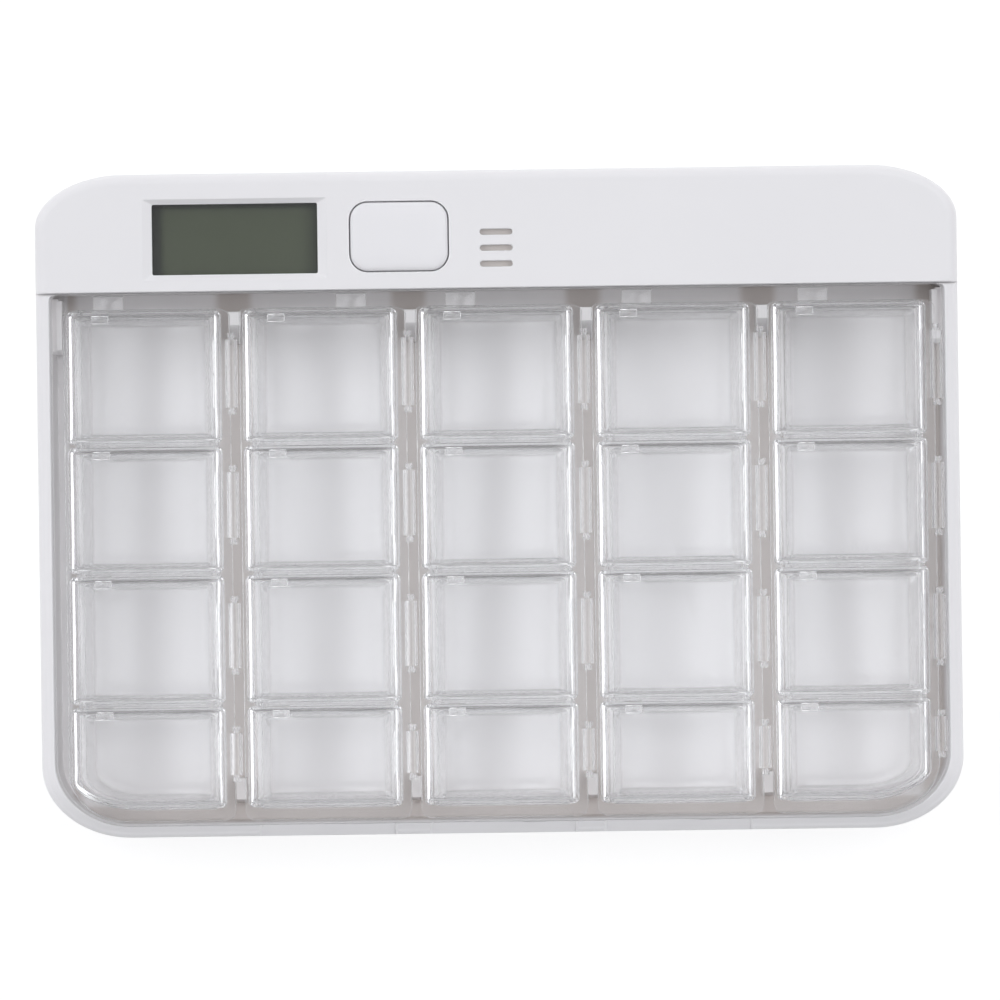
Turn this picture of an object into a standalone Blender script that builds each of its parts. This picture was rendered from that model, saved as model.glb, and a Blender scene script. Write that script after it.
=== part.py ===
# Electronic pill box: a white tray with a clock and alarm section across its
# rear and five clear strips of four lidded compartments each.
# Built in metres, +Z up, +X to the right, +Y towards the control section.
# The origin is under the middle of the object, on the surface it stands on.

import math

import bmesh
import bpy
from mathutils import Vector

for ob in list(bpy.data.objects):
    bpy.data.objects.remove(ob, do_unlink=True)

MM = 0.001

# ---------------------------------------------------------------- dimensions
# All in millimetres.
HALF_W = 90.0            # half the width, X
HALF_D = 64.75           # half the depth, Y
Z_BOTTOM = 0.8           # underside of the tray, above the feet
Z_FLOOR = 3.2            # inside floor of the tray
Z_RIM = 26.6             # top of the tray's rim
Z_COVER = 27.0           # top of the control cover
PLATE = 2.0              # thickness of the cover's top plate
Z_SEAM = 15.0            # height where cover skirt and tray wall meet
COVER_Y = 41.9           # front edge of the control cover
GAP = 0.3                # working gap between neighbouring pieces

REAR_R = (17.4, 10.5)    # rear corners of the outline, X and Y radii
FRONT_R = (17.6, 14.1)   # front corners of the outline

REC_X = 87.05            # recess half width
REC_Y0, REC_Y1 = -62.3, 41.45
REC_R = (14.6, 12.4)     # recess front corners
BAY_X = 87.5             # control bay half width
BAY_Y0, BAY_Y1 = 43.0, 62.6

# strips
PITCH = 34.43            # column pitch
COL_X0 = [-15.35 + PITCH * (k - 2) for k in range(5)]   # left edge of each lid
LID_W = 30.25
ROW_Y = [38.4, 11.85, -13.4, -39.05, -59.4]             # lid boundaries
LID_GAP = 0.22           # each lid stops this far short of a boundary
Z_STRIP0 = 3.5           # underside of a strip
Z_FL0, Z_FL1 = 21.3, 22.3
FLANGE_X = (-0.65, 31.95)
FLANGE_Y = (-61.75, 38.4)
BODY_X = (1.7, 29.3)
BODY_Y = (-59.3, 37.9)
POCKET_X = (2.9, 28.1)
POCKETS_Y = [(11.5, 36.6), (-13.7, 10.3), (-39.35, -14.9), (-58.1, -40.55)]

# lids
Z_LID0, Z_LID1 = 22.7, 25.2
HINGE_X = 32.2           # hinge axis from the lid's left edge
HINGE_Z = 23.6
BARREL_R = 0.9
PIN_R = 0.45
TABS_Y = [(19.0, 32.3), (-6.4, 6.4), (-31.9, -19.2), (-52.8, -44.6)]
TAB_LAST = (-49.9, -43.2)  # the last column's front tab, clear of the corner

# control section
LCD_C = (-50.8, 51.95)
LCD_WIN = (32.3, 13.6)
LCD_FRAME = (36.1, 15.9)
BTN_C = (-18.55, 52.0)
BTN_HOLE = (19.65, 13.85)
BTN_R = 3.6
BTN_TRAVEL = 0.8
SLOT_X, SLOT_Y = 0.2, (52.7, 49.58, 46.45)
SLOT = (6.35, 1.1)
BOARD_X = (-75.3, 14.0)
BOARD_Y = (43.6, 61.4)
Z_BOARD = (17.5, 19.1)

COVER_SCREWS = [(-79.0, 58.3), (79.0, 58.3), (-80.5, 46.3), (80.5, 46.3)]
BOARD_SCREWS = [(-73.0, 58.0), (11.5, 58.6)]
FEET = [(-65.0, 52.5), (65.0, 52.5), (-72.0, -48.0), (72.0, -48.0)]

DOOR_X = 52.0            # battery door half width
CELL_Y, CELL_Z, CELL_R = 53.0, 8.9, 5.2


# ------------------------------------------------------------------ helpers
def material(name, rgb, rough, metal=0.0, alpha=1.0):
    m = bpy.data.materials.new(name)
    m.use_nodes = True
    s = m.node_tree.nodes["Principled BSDF"]
    s.inputs["Base Color"].default_value = (*rgb, 1.0)
    s.inputs["Roughness"].default_value = rough
    s.inputs["Metallic"].default_value = metal
    s.inputs["Alpha"].default_value = alpha
    return m


WHITE = material("white_abs", (0.80, 0.80, 0.82), 0.42)
CLEAR = material("clear_styrene", (0.86, 0.88, 0.90), 0.06, alpha=0.35)
CLEAR_LID = material("clear_styrene_lid", (0.88, 0.89, 0.91), 0.05, alpha=0.35)
LENS = material("clear_lens", (0.80, 0.84, 0.84), 0.05, alpha=0.35)
LCD = material("lcd_glass", (0.10, 0.12, 0.09), 0.25)
BLACK = material("black_plastic", (0.03, 0.03, 0.03), 0.5)
GREEN = material("board_green", (0.03, 0.20, 0.08), 0.5)
STEEL = material("steel", (0.62, 0.62, 0.62), 0.3, 1.0)
RUBBER = material("rubber", (0.25, 0.25, 0.26), 0.8)
SILICONE = material("silicone", (0.55, 0.55, 0.56), 0.7)
CELL = material("cell_wrap", (0.16, 0.30, 0.22), 0.35)
ZEBRA = material("zebra", (0.45, 0.42, 0.40), 0.7)


def corner(cx, cy, rx, ry, a0, seg, p=2.0):
    """Quarter of a superellipse, from angle a0 to a0 + 90 degrees."""
    out = []
    for i in range(seg + 1):
        t = math.radians(a0 + 90.0 * i / seg)
        c, s = math.cos(t), math.sin(t)
        e = 2.0 / p
        out.append((cx + rx * math.copysign(abs(c) ** e, c) if abs(c) > 1e-9 else cx,
                    cy + ry * math.copysign(abs(s) ** e, s) if abs(s) > 1e-9 else cy))
    return out


def rrect(x0, x1, y0, y1, radii, seg, p=(2.0, 2.0, 2.0, 2.0)):
    """Rounded rectangle, counter-clockwise from above. radii and p are for the
    corners front-left, front-right, rear-right, rear-left; seg is one number
    or one for each corner."""
    if isinstance(seg, int):
        seg = (seg,) * 4
    rs = [r if isinstance(r, tuple) else (r, r) for r in radii]
    pts = []
    pts += corner(x0 + rs[0][0], y0 + rs[0][1], rs[0][0], rs[0][1], 180, seg[0], p[0])
    pts += corner(x1 - rs[1][0], y0 + rs[1][1], rs[1][0], rs[1][1], 270, seg[1], p[1])
    pts += corner(x1 - rs[2][0], y1 - rs[2][1], rs[2][0], rs[2][1], 0, seg[2], p[2])
    pts += corner(x0 + rs[3][0], y1 - rs[3][1], rs[3][0], rs[3][1], 90, seg[3], p[3])
    return pts


def inset_r(r, d, least=0.25):
    rx, ry = r if isinstance(r, tuple) else (r, r)
    return (max(rx - d, least), max(ry - d, least))


def mesh_object(name, bm, mat=None, origin=(0, 0, 0), sharp=35.0):
    """Makes an object from a bmesh in millimetres, with its origin at a point
    given in millimetres."""
    o = Vector(origin)
    for v in bm.verts:
        v.co = (v.co - o) * MM
    me = bpy.data.meshes.new(name)
    bm.to_mesh(me)
    bm.free()
    me.shade_smooth()
    me.set_sharp_from_angle(angle=math.radians(sharp))
    ob = bpy.data.objects.new(name, me)
    ob.location = o * MM
    bpy.context.collection.objects.link(ob)
    if mat:
        me.materials.append(mat)
    return ob


def loft_into(bm, loops, cap_start=True, cap_end=True):
    """Skins a chain of loops with equal counts. Each loop is (points, z)."""
    rings = []
    for pts, z in loops:
        rings.append([bm.verts.new((x, y, z)) for x, y in pts])
    n = len(rings[0])
    for a, b in zip(rings, rings[1:]):
        for i in range(n):
            j = (i + 1) % n
            bm.faces.new((a[i], a[j], b[j], b[i]))
    if cap_start:
        bm.faces.new(list(reversed(rings[0])))
    if cap_end:
        bm.faces.new(rings[-1])
    return bm


def loft(loops):
    return loft_into(bmesh.new(), loops)


def box_into(bm, x0, x1, y0, y1, z0, z1):
    pts = [(x0, y0), (x1, y0), (x1, y1), (x0, y1)]
    return loft_into(bm, [(pts, z0), (pts, z1)])


def disc(cx, cy, r, seg, turn=0.0):
    return [(cx + r * math.cos(math.radians(turn) + 2 * math.pi * i / seg),
             cy + r * math.sin(math.radians(turn) + 2 * math.pi * i / seg))
            for i in range(seg)]


def cyl_into(bm, cx, cy, r, z0, z1, seg=12):
    p = disc(cx, cy, r, seg)
    return loft_into(bm, [(p, z0), (p, z1)])


def prism_into(bm, profile, axis, a0, a1):
    """Extrudes a closed profile along X or Y. The profile's points are (Y, Z)
    for X and (X, Z) for Y."""
    area = sum(p[0] * q[1] - q[0] * p[1]
               for p, q in zip(profile, profile[1:] + profile[:1]))
    pts = profile if area > 0 else list(reversed(profile))
    if axis == "X":
        lo = [bm.verts.new((a0, u, w)) for u, w in pts]
        hi = [bm.verts.new((a1, u, w)) for u, w in pts]
    else:
        lo = [bm.verts.new((u, a1, w)) for u, w in pts]
        hi = [bm.verts.new((u, a0, w)) for u, w in pts]
    n = len(pts)
    for i in range(n):
        j = (i + 1) % n
        bm.faces.new((lo[i], lo[j], hi[j], hi[i]))
    bm.faces.new(list(reversed(lo)))
    bm.faces.new(hi)
    return bm


def round_bar_into(bm, x, z, r, y0, y1, seg, turn=0.0):
    return prism_into(bm, disc(x, z, r, seg, turn), "Y", y0, y1)


def combine(ob, bm, operation):
    """Applies an exact Boolean with the solid in bm, which is in millimetres."""
    tool = mesh_object(ob.name + "_tool", bm)
    tool.hide_render = True
    tool.display_type = "WIRE"
    mod = ob.modifiers.new("shape", "BOOLEAN")
    mod.operation = operation
    mod.solver = "EXACT"
    mod.object = tool
    bpy.context.view_layer.update()
    deps = bpy.context.evaluated_depsgraph_get()
    me = bpy.data.meshes.new_from_object(ob.evaluated_get(deps))
    ob.modifiers.clear()
    old = ob.data
    mats = [m for m in old.materials]
    ob.data = me
    me.name = ob.name
    me.materials.clear()
    for m in mats:
        me.materials.append(m)
    me.shade_smooth()
    me.set_sharp_from_angle(angle=math.radians(35))
    bpy.data.meshes.remove(old)
    tool_mesh = tool.data
    bpy.data.objects.remove(tool, do_unlink=True)
    bpy.data.meshes.remove(tool_mesh)
    return ob


def cut(ob, bm):
    return combine(ob, bm, "DIFFERENCE")


def add(ob, bm):
    return combine(ob, bm, "UNION")


# ----------------------------------------------------------------- the tray
def outline(d, seg=8):
    """The object's outline, inset by d."""
    return rrect(-HALF_W + d, HALF_W - d, -HALF_D + d, HALF_D - d,
                 (inset_r(FRONT_R, d), inset_r(FRONT_R, d),
                  inset_r(REAR_R, d), inset_r(REAR_R, d)), seg)


def make_tray():
    bm = loft([(outline(1.6), Z_BOTTOM), (outline(0.0), Z_BOTTOM + 1.6),
               (outline(0.0), Z_RIM - 1.0), (outline(0.35), Z_RIM - 0.3),
               (outline(1.1), Z_RIM)])
    ob = mesh_object("base_tray", bm, WHITE)

    def recess(d):
        r = (REC_R[0] + d, REC_R[1] + d)
        return rrect(-REC_X - d, REC_X + d, REC_Y0 - d, REC_Y1,
                     (r, r, 1.3, 1.3), (8, 8, 2, 2))
    bm = loft([(recess(-0.5), Z_FLOOR), (recess(-0.25), Z_FLOOR + 1.2),
               (recess(0.0), Z_RIM - 0.9), (recess(0.9), Z_RIM + 0.3)])
    bay = rrect(-BAY_X, BAY_X, BAY_Y0, BAY_Y1, (1.0, 1.0, (15, 8.5), (15, 8.5)), (1, 1, 6, 6))
    loft_into(bm, [(bay, Z_FLOOR), (bay, 30.0)])
    cut(ob, bm)

    # The rear walls stop at the seam; the bulkhead stops under the cover plate.
    bm = bmesh.new()
    prism_into(bm, [(41.6, 24.7), (43.15, 24.7), (43.15, Z_SEAM), (70, Z_SEAM),
                    (70, 30), (41.6, 30)], "X", -95, 95)
    cut(ob, bm)

    # Locating posts between the strips, end walls of the battery bay, bosses.
    bm = bmesh.new()
    for k in range(4):
        x = COL_X0[k] + 32.87
        box_into(bm, x - 1.2, x + 1.2, 31.9, 37.8, Z_FLOOR - 0.5, 20.9)
        box_into(bm, x - 1.0, x + 1.0, -57.8, -53.6, Z_FLOOR - 0.5, 20.9)
    box_into(bm, -REC_X - 0.4, -84.9, 31.9, 37.8, Z_FLOOR - 0.5, 20.9)
    box_into(bm, 84.6, REC_X + 0.4, 31.9, 37.8, Z_FLOOR - 0.5, 20.9)
    box_into(bm, -52.6, -51.0, 45.0, 61.5, Z_FLOOR - 0.5, 13.0)
    box_into(bm, 51.0, 52.6, 45.0, 61.5, Z_FLOOR - 0.5, 13.0)
    for x, y in COVER_SCREWS:
        cyl_into(bm, x, y, 3.0, Z_FLOOR - 0.5, 6.5, 12)
    add(ob, bm)

    # Battery door opening with its side grooves, screw holes, foot recesses.
    bm = bmesh.new()
    e = DOOR_X + GAP
    g = e + 1.3
    prism_into(bm, [(-e, 0.0), (e, 0.0), (e, 1.4), (g, 1.4), (g, 2.4), (e, 2.4),
                    (-e, 2.4), (-g, 2.4), (-g, 1.4), (-e, 1.4)], "Y", 45.0, 70.0)
    cut(ob, bm)
    bm = bmesh.new()
    box_into(bm, -50.0, 50.0, 46.2, 61.5, 2.0, 4.5)
    box_into(bm, -e, e, 62.3, 70.0, -1.0, 9.3)
    for x, y in COVER_SCREWS:
        c1, c2 = disc(x, y, 2.6, 12), disc(x, y, 1.35, 12)
        loft_into(bm, [(c1, 0.0), (c1, 2.9), (c2, 2.9), (c2, 8.0)])
    for x, y in FEET:
        cyl_into(bm, x, y, 5.0, 0.0, 1.5, 16)
    cut(ob, bm)

    # Three shallow finger scoops in the front rim.
    bm = bmesh.new()
    for x0, x1 in ((-48.5, -19.9), (-15.2, 15.2), (18.9, 49.5)):
        lo = rrect(x0 + 1.5, x1 - 1.5, -70, -58, (2, 2, 2, 2), 2)
        hi = rrect(x0 - 0.9, x1 + 0.9, -70, -58, (3, 3, 3, 3), 2)
        loft_into(bm, [(lo, Z_RIM - 1.0), (hi, Z_RIM + 0.6)])
    cut(ob, bm)
    return ob


# ------------------------------------------------------------ control cover
def cover_loop(side, front, seg=8):
    r = inset_r(REAR_R, side)
    return rrect(-HALF_W + side, HALF_W - side, COVER_Y + front, HALF_D - side,
                 (0.5, 0.5, r, r), (1, 1, seg, seg))


def centred(c, size, r, seg, d=0.0):
    """A rounded rectangle about a centre, inset by d."""
    return rrect(c[0] - size[0] / 2 + d, c[0] + size[0] / 2 - d,
                 c[1] - size[1] / 2 + d, c[1] + size[1] / 2 - d,
                 (max(r - d, 0.1),) * 4, seg)


def make_cover():
    bm = loft([(cover_loop(0, 0), Z_SEAM + GAP), (cover_loop(0, 0), Z_COVER - 1.4),
               (cover_loop(0.35, 0.1), Z_COVER - 0.45),
               (cover_loop(1.25, 0.4), Z_COVER)])
    ob = mesh_object("control_cover", bm, WHITE)
    plate = Z_COVER - PLATE

    # Hollow underneath, open to the front below the plate.
    inner = rrect(-88, 88, 40.0, 62.75, (0.5, 0.5, (15.4, 8.5), (15.4, 8.5)), (1, 1, 6, 6))
    bm = loft([(inner, 10.0), (inner, plate)])
    cut(ob, bm)
    bm = bmesh.new()
    box_into(bm, -95, 95, 38.0, 43.45, 9.0, plate)
    cut(ob, bm)

    # Screw bosses, board posts.
    bm = bmesh.new()
    for x, y in COVER_SCREWS:
        cyl_into(bm, x, y, 2.8, 6.8, plate + 0.8, 12)
    for x, y in BOARD_SCREWS:
        cyl_into(bm, x, y, 1.9, Z_BOARD[1] + GAP, plate + 0.8, 10)
    add(ob, bm)
    bm = bmesh.new()
    for x, y in COVER_SCREWS:
        cyl_into(bm, x, y, 1.3, 5.0, 16.0, 10)
    for x, y in BOARD_SCREWS:
        cyl_into(bm, x, y, 1.1, 18.0, 24.4, 8)

    # Display window with its bevelled frame, button hole, three sound slots.
    k = (LCD_FRAME[0] - LCD_WIN[0]) / 2 / 1.2 * 0.3
    loft_into(bm, [(centred(LCD_C, (35.2, 16.2), 0.3, 1), 24.0),
                   (centred(LCD_C, (35.2, 16.2), 0.3, 1), 25.4),
                   (centred(LCD_C, LCD_WIN, 0.3, 1), 25.4),
                   (centred(LCD_C, LCD_WIN, 0.3, 1), 25.8),
                   (centred(LCD_C, LCD_FRAME, 0.3, 1), Z_COVER),
                   (centred(LCD_C, (LCD_FRAME[0] + 2 * k, LCD_FRAME[1] + 1.2 * k), 0.3, 1),
                    Z_COVER + 0.3)])
    hole = centred(BTN_C, BTN_HOLE, BTN_R, 4)
    loft_into(bm, [(hole, 24.0), (hole, 28.0)])
    for y in SLOT_Y:
        s = centred((SLOT_X, y), SLOT, SLOT[1] / 2 - 0.01, 2)
        loft_into(bm, [(s, 24.0), (s, 28.0)])
    cut(ob, bm)
    return ob


# ------------------------------------------------------------ small pieces
def make_electronics():
    # Display stack.
    p = centred(LCD_C, (34.6, 15.6), 0.3, 1)
    mesh_object("lcd_lens", loft([(p, 24.2), (p, 25.1)]), LENS)
    p = centred(LCD_C, (37.4, 14.9), 0.2, 1)
    mesh_object("lcd_panel", loft([(p, 21.7), (p, 23.9)]), LCD)
    out, inn = centred(LCD_C, (40.4, 17.0), 0.6, 1), centred(LCD_C, (38.0, 15.5), 0.3, 1)
    bm = bmesh.new()
    loft_into(bm, [(out, 19.4), (out, 23.9), (inn, 23.9), (inn, 19.4), (out, 19.4)],
              False, False)
    bmesh.ops.remove_doubles(bm, verts=bm.verts, dist=1e-4)
    mesh_object("lcd_holder", bm, WHITE)
    bm = bmesh.new()
    box_into(bm, LCD_C[0] - 18, LCD_C[0] + 18, 45.1, 46.9, 19.4, 21.4)
    mesh_object("zebra_connector", bm, ZEBRA)

    # Board with its two fixing holes.
    bm = bmesh.new()
    box_into(bm, BOARD_X[0], BOARD_X[1], BOARD_Y[0], BOARD_Y[1], *Z_BOARD)
    ob = mesh_object("circuit_board", bm, GREEN)
    bm = bmesh.new()
    for x, y in BOARD_SCREWS:
        cyl_into(bm, x, y, 1.15, 16.0, 21.0, 10)
    cut(ob, bm)
    bm = bmesh.new()
    box_into(bm, -35.0, -25.0, 48.5, 58.5, 15.9, 17.2)
    mesh_object("controller_chip", bm, BLACK)
    bm = bmesh.new()
    round_bar_into(bm, -16.0, 16.1, 1.0, 50.0, 56.0, 10)
    mesh_object("clock_crystal", bm, STEEL)

    # Sounder under the slots: a ring with its outlet hole, closed below.
    c = (SLOT_X, SLOT_Y[1])
    bm = loft([(disc(*c, 5.9, 20), 19.4), (disc(*c, 5.9, 20), 24.1),
               (disc(*c, 5.5, 20), 24.5), (disc(*c, 1.1, 20), 24.5),
               (disc(*c, 1.1, 20), 22.8)])
    mesh_object("buzzer", bm, BLACK)

    # Button cap: crowned top, retaining flange, and the pad below it.
    top = Z_COVER + 0.45
    size = (BTN_HOLE[0] - 0.75, BTN_HOLE[1] - 0.75)
    fl = (size[0] + 2.4, size[1] + 2.2)
    r = BTN_R - 0.35
    bm = loft([(centred(BTN_C, fl, r + 1, 4), 23.7), (centred(BTN_C, fl, r + 1, 4), 24.6),
               (centred(BTN_C, size, r, 4), 24.6), (centred(BTN_C, size, r, 4), top - 0.65),
               (centred(BTN_C, size, r, 4, 0.25), top - 0.25),
               (centred(BTN_C, size, r, 4, 0.9), top - 0.08),
               (centred(BTN_C, size, r, 4, 3.2), top)])
    mesh_object("button_cap", bm, WHITE, (BTN_C[0], BTN_C[1], 24.6))
    bm = loft([(disc(*BTN_C, 2.2, 12), 20.3), (disc(*BTN_C, 2.2, 12), 21.2),
               (disc(*BTN_C, 4.0, 12), 22.4), (disc(*BTN_C, 4.0, 12), 23.4)])
    mesh_object("button_pad", bm, SILICONE, (BTN_C[0], BTN_C[1], 23.4))


def make_power():
    # Two cells in line, both with the raised pole to the right.
    for name, x0 in (("battery_cell_left", -45.1), ("battery_cell_right", -0.5)):
        bm = bmesh.new()
        rings = []
        for x, r in ((0.0, CELL_R - 0.4), (0.4, CELL_R), (42.9, CELL_R), (43.3, CELL_R - 0.4),
                     (43.3, 1.9), (44.3, 1.9)):
            rings.append([bm.verts.new((x0 + x, CELL_Y + r * math.cos(a), CELL_Z + r * math.sin(a)))
                          for a in (2 * math.pi * i / 16 for i in range(16))])
        for a, b in zip(rings, rings[1:]):
            for i in range(16):
                j = (i + 1) % 16
                bm.faces.new((a[i], a[j], b[j], b[i]))
        bm.faces.new(list(reversed(rings[0])))
        bm.faces.new(rings[-1])
        mesh_object(name, bm, CELL)

    # Conical spring against the left cell: a wire wound about the cell's axis.
    turns, per, wire, sides = 3.5, 12, 0.32, 6
    n = int(turns * per)
    bm = bmesh.new()
    rings = []
    for i in range(n + 1):
        t = i / n
        a = 2 * math.pi * turns * t
        rad = 3.7 - 1.3 * t
        x = -50.0 + 4.2 * t
        centre = Vector((x, CELL_Y + rad * math.cos(a), CELL_Z + rad * math.sin(a)))
        out = Vector((0, math.cos(a), math.sin(a)))
        ax = Vector((1, 0, 0))
        rings.append([bm.verts.new(centre + wire * (math.cos(b) * out + math.sin(b) * ax))
                      for b in (2 * math.pi * j / sides for j in range(sides))])
    for p, q in zip(rings, rings[1:]):
        for i in range(sides):
            j = (i + 1) % sides
            bm.faces.new((p[i], q[i], q[j], p[j]))
    bm.faces.new(rings[0])
    bm.faces.new(list(reversed(rings[-1])))
    bmesh.ops.recalc_face_normals(bm, faces=bm.faces)
    mesh_object("battery_spring", bm, STEEL)

    bm = bmesh.new()
    box_into(bm, -50.9 + 0.2, -50.35 - 0.0, 48.6, 57.4, 4.6, 13.0)
    mesh_object("spring_plate", bm, STEEL)
    bm = bmesh.new()
    prism_into(bm, [(44.1, 4.8), (44.5, 4.8), (44.5, 12.5), (50.7, 12.5), (50.7, 12.9),
                    (44.1, 12.9)], "Y", 49.0, 57.0)
    mesh_object("contact_plate", bm, STEEL)

    # Battery door: plate, upturned rear lip, side tongues, grip ribs.
    x = DOOR_X
    bm = bmesh.new()
    prism_into(bm, [(45.3, Z_BOTTOM), (HALF_D - 1.6, Z_BOTTOM), (HALF_D, Z_BOTTOM + 1.6),
                    (HALF_D, 9.0), (62.9, 9.0), (62.9, 2.1), (45.3, 2.1)], "X", -x, x)
    ob = mesh_object("battery_door", bm, WHITE, (0, HALF_D, Z_BOTTOM))
    bm = bmesh.new()
    box_into(bm, -x - 1.0, -x + 0.8, 46.5, 60.0, 1.7, 2.0)
    box_into(bm, x - 0.8, x + 1.0, 46.5, 60.0, 1.7, 2.0)
    add(ob, bm)
    bm = bmesh.new()
    for i in range(4):
        y = 55.0 + 1.8 * i
        box_into(bm, -9.0, 9.0, y, y + 0.8, 0.0, Z_BOTTOM + 0.4)
    cut(ob, bm)


def make_fixings():
    for i, (x, y) in enumerate(COVER_SCREWS):
        bm = loft([(disc(x, y, 1.8, 12), 1.1), (disc(x, y, 2.3, 12), 1.4),
                   (disc(x, y, 2.3, 12), 2.6), (disc(x, y, 1.0, 12), 2.6),
                   (disc(x, y, 1.0, 12), 13.4), (disc(x, y, 0.4, 12), 14.0)])
        ob = mesh_object("cover_screw_%d" % (i + 1), bm, STEEL)
        bm = bmesh.new()
        box_into(bm, x - 1.2, x + 1.2, y - 0.25, y + 0.25, 0.5, 1.9)
        cut(ob, bm)
        bm = bmesh.new()
        box_into(bm, x - 0.25, x + 0.25, y - 1.2, y + 1.2, 0.5, 1.9)
        cut(ob, bm)
    for i, (x, y) in enumerate(BOARD_SCREWS):
        bm = loft([(disc(x, y, 1.5, 10), 16.0), (disc(x, y, 1.9, 10), 16.3),
                   (disc(x, y, 1.9, 10), 17.2), (disc(x, y, 0.8, 10), 17.2),
                   (disc(x, y, 0.8, 10), 23.6)])
        mesh_object("board_screw_%d" % (i + 1), bm, STEEL)
    for i, (x, y) in enumerate(FEET):
        bm = loft([(disc(x, y, 4.2, 16), 0.0), (disc(x, y, 4.6, 16), 0.35),
                   (disc(x, y, 4.7, 16), 1.2)])
        mesh_object("foot_%d" % (i + 1), bm, RUBBER)


# ------------------------------------------------------------------- strips
def strip_seg(k):
    return (6 if k == 0 else 2, 6 if k == 4 else 2, 2, 2)


def front_corner(k, size, small):
    """Front corner radii where only the outer one of the end columns is big."""
    fl = size if k == 0 else small
    fr = size if k == 4 else small
    return fl, fr


def tabs(k):
    return TABS_Y[:3] + [TAB_LAST if k == 4 else TABS_Y[3]]


def make_strip(k):
    x0 = COL_X0[k]
    seg = strip_seg(k)

    def body(d):
        fl, fr = front_corner(k, (12.0, 7.0), (1.6, 1.6))
        rad = tuple(inset_r(r, d) for r in (fl, fr, (1.6, 1.6), (1.6, 1.6)))
        return rrect(x0 + BODY_X[0] + d, x0 + BODY_X[1] - d, BODY_Y[0] + d, BODY_Y[1] - d,
                     rad, seg)

    fx0, fx1 = FLANGE_X
    fl, fr = front_corner(k, (11.6, 10.0), (2.0, 2.0))
    flange = rrect(x0 + fx0, x0 + fx1, FLANGE_Y[0], FLANGE_Y[1],
                   (fl, fr, (2.6, 1.5), (1.3, 1.3)), seg)
    bm = loft([(body(1.2), Z_STRIP0), (body(0.4), Z_STRIP0 + 0.8), (body(0.0), Z_FL0),
               (flange, Z_FL0), (flange, Z_FL1)])
    ob = mesh_object("pill_strip_%d" % (k + 1), bm, CLEAR)

    # Rear locating tab, and a pair of open-topped lugs for every lid.
    bm = bmesh.new()
    t = 18.3 if k == 1 else 5.3
    box_into(bm, x0 + t, x0 + t + 5.9, 37.5, 41.1, 20.3, 21.9)
    hx = x0 + HINGE_X
    u = [(hx - 1.3, Z_FL0 + 0.2), (hx + 0.95, Z_FL0 + 0.2), (hx + 0.95, 24.5), (hx + 0.72, 24.5),
         (hx + 0.72, 22.88), (hx - 0.72, 22.88), (hx - 0.72, 24.5), (hx - 1.3, 24.5)]
    for y0, y1 in tabs(k):
        prism_into(bm, u, "Y", y0 - 1.35, y0 - 0.35)
        prism_into(bm, u, "Y", y1 + 0.35, y1 + 1.35)
    add(ob, bm)

    bm = bmesh.new()
    for r, (y0, y1) in enumerate(POCKETS_Y):
        fl, fr = front_corner(k if r == 3 else 2, (11.2, 6.2), (1.2, 1.2))

        def pocket(d):
            rad = tuple(inset_r(c, d, 0.4) for c in (fl, fr, (1.2, 1.2), (1.2, 1.2)))
            return rrect(x0 + POCKET_X[0] + d, x0 + POCKET_X[1] - d, y0 + d, y1 - d, rad,
                         (5 if k == 0 and r == 3 else 2, 5 if k == 4 and r == 3 else 2, 2, 2))
        loft_into(bm, [(pocket(2.3), 4.5), (pocket(1.3), 5.0), (pocket(0.9), 6.4),
                       (pocket(0.0), Z_FL1 + 0.5)])
    cut(ob, bm)
    return ob


# --------------------------------------------------------------------- lids
def make_lid(k, r):
    x0 = COL_X0[k]
    y1, y0 = ROW_Y[r] - LID_GAP, ROW_Y[r + 1] + LID_GAP
    last = r == 3
    big = (11.5, 5.9) if k == 0 else (13.6, 5.9)
    fl, fr = front_corner(k if last else 2, big, (1.2, 1.2))
    seg = (5 if last and k == 0 else 2, 5 if last and k == 4 else 2, 2, 2)
    p = (1.85 if last and k == 0 else 2.0, 1.85 if last and k == 4 else 2.0, 2.0, 2.0)

    def loop(d, left):
        rad = tuple(inset_r(c, d, 0.3) for c in (fl, fr, (1.2, 1.2), (1.2, 1.2)))
        return rrect(x0 + left, x0 + LID_W - d, y0 + d, y1 - d, rad, seg, p)

    bm = loft([(loop(1.2, 2.4), 24.0), (loop(0.9, 2.0), Z_LID0), (loop(0.0, 1.1), Z_LID0),
               (loop(0.0, 1.1), 23.3), (loop(0.0, 0.0), 23.5), (loop(0.0, 0.0), 24.1),
               (loop(0.02, 1.1), 24.3), (loop(0.7, 1.8), Z_LID1)])
    hx = x0 + HINGE_X
    ob = mesh_object("lid_c%d_r%d" % (k + 1, r + 1), bm, CLEAR_LID,
                     (hx, (y0 + y1) / 2, HINGE_Z))

    # Hinge: a web from the lid's right wall to the barrel, with a pin each end.
    t0, t1 = tabs(k)[r]
    bm = bmesh.new()
    box_into(bm, x0 + LID_W - 0.4, hx - 0.2, t0, t1, 23.4, 24.2)
    add(ob, bm)
    bm = bmesh.new()
    round_bar_into(bm, hx, HINGE_Z, BARREL_R, t0, t1, 10, 18)
    add(ob, bm)
    bm = bmesh.new()
    round_bar_into(bm, hx, HINGE_Z, PIN_R, t0 - 1.2, t1 + 1.2, 6)
    add(ob, bm)
    return ob


make_tray()
make_cover()
make_electronics()
make_power()
make_fixings()
for k in range(5):
    make_strip(k)
    for r in range(4):
        make_lid(k, r)
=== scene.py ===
import math

import bmesh
import bpy
from mathutils import Matrix, Vector


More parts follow.
